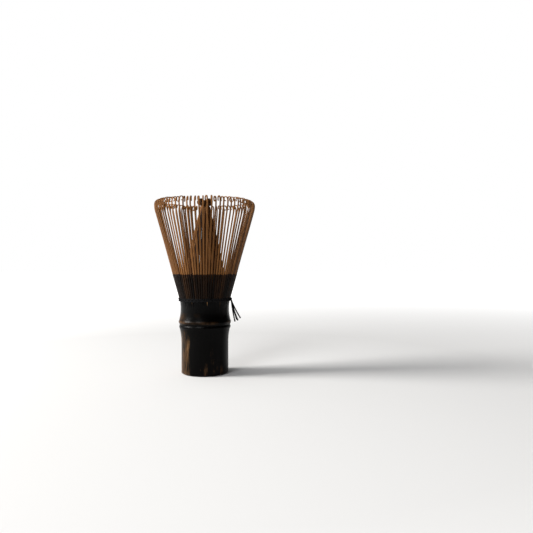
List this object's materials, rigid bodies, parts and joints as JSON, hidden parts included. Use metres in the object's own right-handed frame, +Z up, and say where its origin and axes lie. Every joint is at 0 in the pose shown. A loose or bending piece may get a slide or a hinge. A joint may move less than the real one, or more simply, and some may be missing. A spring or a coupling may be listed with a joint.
{
  "type": "bamboo tea whisk",
  "caption": "Dark bamboo tea whisk: a jointed culm handle split into flexing outer and inner tines with curled tips, bound with black thread.",
  "frame": {"origin": "centre of the handle's foot, on the table", "axes": "+Z up the whisk's axis, towards the tines; the whisk is seen from -Y, with the thread's knot towards +X"},
  "size_m": [0.06, 0.06, 0.1049],
  "materials": {
    "dark_bamboo": "satin dark bamboo skin",
    "tine_bamboo": "matt split bamboo",
    "thread": "matt twisted cotton thread"
  },
  "bodies": {
    "handle": {"handle": "dark_bamboo", "thread_lower_wrap": "thread", "thread_upper_wrap": "thread", "thread_knot": "thread", "thread_tails": "thread"},
    "outer_01": {"outer_tines_01": "tine_bamboo"},
    "outer_02": {"outer_tines_02": "tine_bamboo"},
    "outer_03": {"outer_tines_03": "tine_bamboo"},
    "outer_04": {"outer_tines_04": "tine_bamboo"},
    "outer_05": {"outer_tines_05": "tine_bamboo"},
    "outer_06": {"outer_tines_06": "tine_bamboo"},
    "outer_07": {"outer_tines_07": "tine_bamboo"},
    "outer_08": {"outer_tines_08": "tine_bamboo"},
    "outer_09": {"outer_tines_09": "tine_bamboo"},
    "outer_10": {"outer_tines_10": "tine_bamboo"},
    "outer_11": {"outer_tines_11": "tine_bamboo"},
    "outer_12": {"outer_tines_12": "tine_bamboo"},
    "outer_13": {"outer_tines_13": "tine_bamboo"},
    "outer_14": {"outer_tines_14": "tine_bamboo"},
    "outer_15": {"outer_tines_15": "tine_bamboo"},
    "outer_16": {"outer_tines_16": "tine_bamboo"},
    "inner_01": {"inner_tines_01": "tine_bamboo"},
    "inner_02": {"inner_tines_02": "tine_bamboo"},
    "inner_03": {"inner_tines_03": "tine_bamboo"},
    "inner_04": {"inner_tines_04": "tine_bamboo"},
    "inner_05": {"inner_tines_05": "tine_bamboo"},
    "inner_06": {"inner_tines_06": "tine_bamboo"},
    "inner_07": {"inner_tines_07": "tine_bamboo"},
    "inner_08": {"inner_tines_08": "tine_bamboo"},
    "inner_09": {"inner_tines_09": "tine_bamboo"},
    "inner_10": {"inner_tines_10": "tine_bamboo"},
    "inner_11": {"inner_tines_11": "tine_bamboo"},
    "inner_12": {"inner_tines_12": "tine_bamboo"},
    "inner_13": {"inner_tines_13": "tine_bamboo"},
    "inner_14": {"inner_tines_14": "tine_bamboo"},
    "inner_15": {"inner_tines_15": "tine_bamboo"},
    "inner_16": {"inner_tines_16": "tine_bamboo"}
  },
  "joints": [
    {"name": "outer_flex_01", "type": "hinge", "parent": "handle", "child": "outer_01", "pos_m": [0.01525, 0, 0.047], "axis": [0, 1, 0], "range_deg": [-2.5, 6], "stiffness_Nm_per_rad": 0.01},
    {"name": "outer_flex_02", "type": "hinge", "parent": "handle", "child": "outer_02", "pos_m": [0.01409, 0.00584, 0.047], "axis": [-0.3827, 0.9239, 0], "range_deg": [-2.5, 6], "stiffness_Nm_per_rad": 0.01},
    {"name": "outer_flex_03", "type": "hinge", "parent": "handle", "child": "outer_03", "pos_m": [0.01078, 0.01078, 0.047], "axis": [-0.7071, 0.7071, 0], "range_deg": [-2.5, 6], "stiffness_Nm_per_rad": 0.01},
    {"name": "outer_flex_04", "type": "hinge", "parent": "handle", "child": "outer_04", "pos_m": [0.00584, 0.01409, 0.047], "axis": [-0.9239, 0.3827, 0], "range_deg": [-2.5, 6], "stiffness_Nm_per_rad": 0.01},
    {"name": "outer_flex_05", "type": "hinge", "parent": "handle", "child": "outer_05", "pos_m": [0, 0.01525, 0.047], "axis": [-1, 0, 0], "range_deg": [-2.5, 6], "stiffness_Nm_per_rad": 0.01},
    {"name": "outer_flex_06", "type": "hinge", "parent": "handle", "child": "outer_06", "pos_m": [-0.00584, 0.01409, 0.047], "axis": [-0.9239, -0.3827, 0], "range_deg": [-2.5, 6], "stiffness_Nm_per_rad": 0.01},
    {"name": "outer_flex_07", "type": "hinge", "parent": "handle", "child": "outer_07", "pos_m": [-0.01078, 0.01078, 0.047], "axis": [-0.7071, -0.7071, 0], "range_deg": [-2.5, 6], "stiffness_Nm_per_rad": 0.01},
    {"name": "outer_flex_08", "type": "hinge", "parent": "handle", "child": "outer_08", "pos_m": [-0.01409, 0.00584, 0.047], "axis": [-0.3827, -0.9239, 0], "range_deg": [-2.5, 6], "stiffness_Nm_per_rad": 0.01},
    {"name": "outer_flex_09", "type": "hinge", "parent": "handle", "child": "outer_09", "pos_m": [-0.01525, 0, 0.047], "axis": [0, -1, 0], "range_deg": [-2.5, 6], "stiffness_Nm_per_rad": 0.01},
    {"name": "outer_flex_10", "type": "hinge", "parent": "handle", "child": "outer_10", "pos_m": [-0.01409, -0.00584, 0.047], "axis": [0.3827, -0.9239, 0], "range_deg": [-2.5, 6], "stiffness_Nm_per_rad": 0.01},
    {"name": "outer_flex_11", "type": "hinge", "parent": "handle", "child": "outer_11", "pos_m": [-0.01078, -0.01078, 0.047], "axis": [0.7071, -0.7071, 0], "range_deg": [-2.5, 6], "stiffness_Nm_per_rad": 0.01},
    {"name": "outer_flex_12", "type": "hinge", "parent": "handle", "child": "outer_12", "pos_m": [-0.00584, -0.01409, 0.047], "axis": [0.9239, -0.3827, 0], "range_deg": [-2.5, 6], "stiffness_Nm_per_rad": 0.01},
    {"name": "outer_flex_13", "type": "hinge", "parent": "handle", "child": "outer_13", "pos_m": [0, -0.01525, 0.047], "axis": [1, 0, 0], "range_deg": [-2.5, 6], "stiffness_Nm_per_rad": 0.01},
    {"name": "outer_flex_14", "type": "hinge", "parent": "handle", "child": "outer_14", "pos_m": [0.00584, -0.01409, 0.047], "axis": [0.9239, 0.3827, 0], "range_deg": [-2.5, 6], "stiffness_Nm_per_rad": 0.01},
    {"name": "outer_flex_15", "type": "hinge", "parent": "handle", "child": "outer_15", "pos_m": [0.01078, -0.01078, 0.047], "axis": [0.7071, 0.7071, 0], "range_deg": [-2.5, 6], "stiffness_Nm_per_rad": 0.01},
    {"name": "outer_flex_16", "type": "hinge", "parent": "handle", "child": "outer_16", "pos_m": [0.01409, -0.00584, 0.047], "axis": [0.3827, 0.9239, 0], "range_deg": [-2.5, 6], "stiffness_Nm_per_rad": 0.01},
    {"name": "inner_flex_01", "type": "hinge", "parent": "handle", "child": "inner_01", "pos_m": [0.01319, 0.00052, 0.047], "axis": [-0.0393, 0.9992, 0], "range_deg": [0, 8], "stiffness_Nm_per_rad": 0.005},
    {"name": "inner_flex_02", "type": "hinge", "parent": "handle", "child": "inner_02", "pos_m": [0.01199, 0.00553, 0.047], "axis": [-0.4187, 0.9081, 0], "range_deg": [0, 8], "stiffness_Nm_per_rad": 0.005},
    {"name": "inner_flex_03", "type": "hinge", "parent": "handle", "child": "inner_03", "pos_m": [0.00896, 0.00969, 0.047], "axis": [-0.7343, 0.6788, 0], "range_deg": [0, 8], "stiffness_Nm_per_rad": 0.005},
    {"name": "inner_flex_04", "type": "hinge", "parent": "handle", "child": "inner_04", "pos_m": [0.00457, 0.01238, 0.047], "axis": [-0.9382, 0.3461, 0], "range_deg": [0, 8], "stiffness_Nm_per_rad": 0.005},
    {"name": "inner_flex_05", "type": "hinge", "parent": "handle", "child": "inner_05", "pos_m": [-0.00052, 0.01319, 0.047], "axis": [-0.9992, -0.0393, 0], "range_deg": [0, 8], "stiffness_Nm_per_rad": 0.005},
    {"name": "inner_flex_06", "type": "hinge", "parent": "handle", "child": "inner_06", "pos_m": [-0.00553, 0.01199, 0.047], "axis": [-0.9081, -0.4187, 0], "range_deg": [0, 8], "stiffness_Nm_per_rad": 0.005},
    {"name": "inner_flex_07", "type": "hinge", "parent": "handle", "child": "inner_07", "pos_m": [-0.00969, 0.00896, 0.047], "axis": [-0.6788, -0.7343, 0], "range_deg": [0, 8], "stiffness_Nm_per_rad": 0.005},
    {"name": "inner_flex_08", "type": "hinge", "parent": "handle", "child": "inner_08", "pos_m": [-0.01238, 0.00457, 0.047], "axis": [-0.3461, -0.9382, 0], "range_deg": [0, 8], "stiffness_Nm_per_rad": 0.005},
    {"name": "inner_flex_09", "type": "hinge", "parent": "handle", "child": "inner_09", "pos_m": [-0.01319, -0.00052, 0.047], "axis": [0.0393, -0.9992, 0], "range_deg": [0, 8], "stiffness_Nm_per_rad": 0.005},
    {"name": "inner_flex_10", "type": "hinge", "parent": "handle", "child": "inner_10", "pos_m": [-0.01199, -0.00553, 0.047], "axis": [0.4187, -0.9081, 0], "range_deg": [0, 8], "stiffness_Nm_per_rad": 0.005},
    {"name": "inner_flex_11", "type": "hinge", "parent": "handle", "child": "inner_11", "pos_m": [-0.00896, -0.00969, 0.047], "axis": [0.7343, -0.6788, 0], "range_deg": [0, 8], "stiffness_Nm_per_rad": 0.005},
    {"name": "inner_flex_12", "type": "hinge", "parent": "handle", "child": "inner_12", "pos_m": [-0.00457, -0.01238, 0.047], "axis": [0.9382, -0.3461, 0], "range_deg": [0, 8], "stiffness_Nm_per_rad": 0.005},
    {"name": "inner_flex_13", "type": "hinge", "parent": "handle", "child": "inner_13", "pos_m": [0.00052, -0.01319, 0.047], "axis": [0.9992, 0.0393, 0], "range_deg": [0, 8], "stiffness_Nm_per_rad": 0.005},
    {"name": "inner_flex_14", "type": "hinge", "parent": "handle", "child": "inner_14", "pos_m": [0.00553, -0.01199, 0.047], "axis": [0.9081, 0.4187, 0], "range_deg": [0, 8], "stiffness_Nm_per_rad": 0.005},
    {"name": "inner_flex_15", "type": "hinge", "parent": "handle", "child": "inner_15", "pos_m": [0.00969, -0.00896, 0.047], "axis": [0.6788, 0.7343, 0], "range_deg": [0, 8], "stiffness_Nm_per_rad": 0.005},
    {"name": "inner_flex_16", "type": "hinge", "parent": "handle", "child": "inner_16", "pos_m": [0.01238, -0.00457, 0.047], "axis": [0.3461, 0.9382, 0], "range_deg": [0, 8], "stiffness_Nm_per_rad": 0.005}
  ]
}
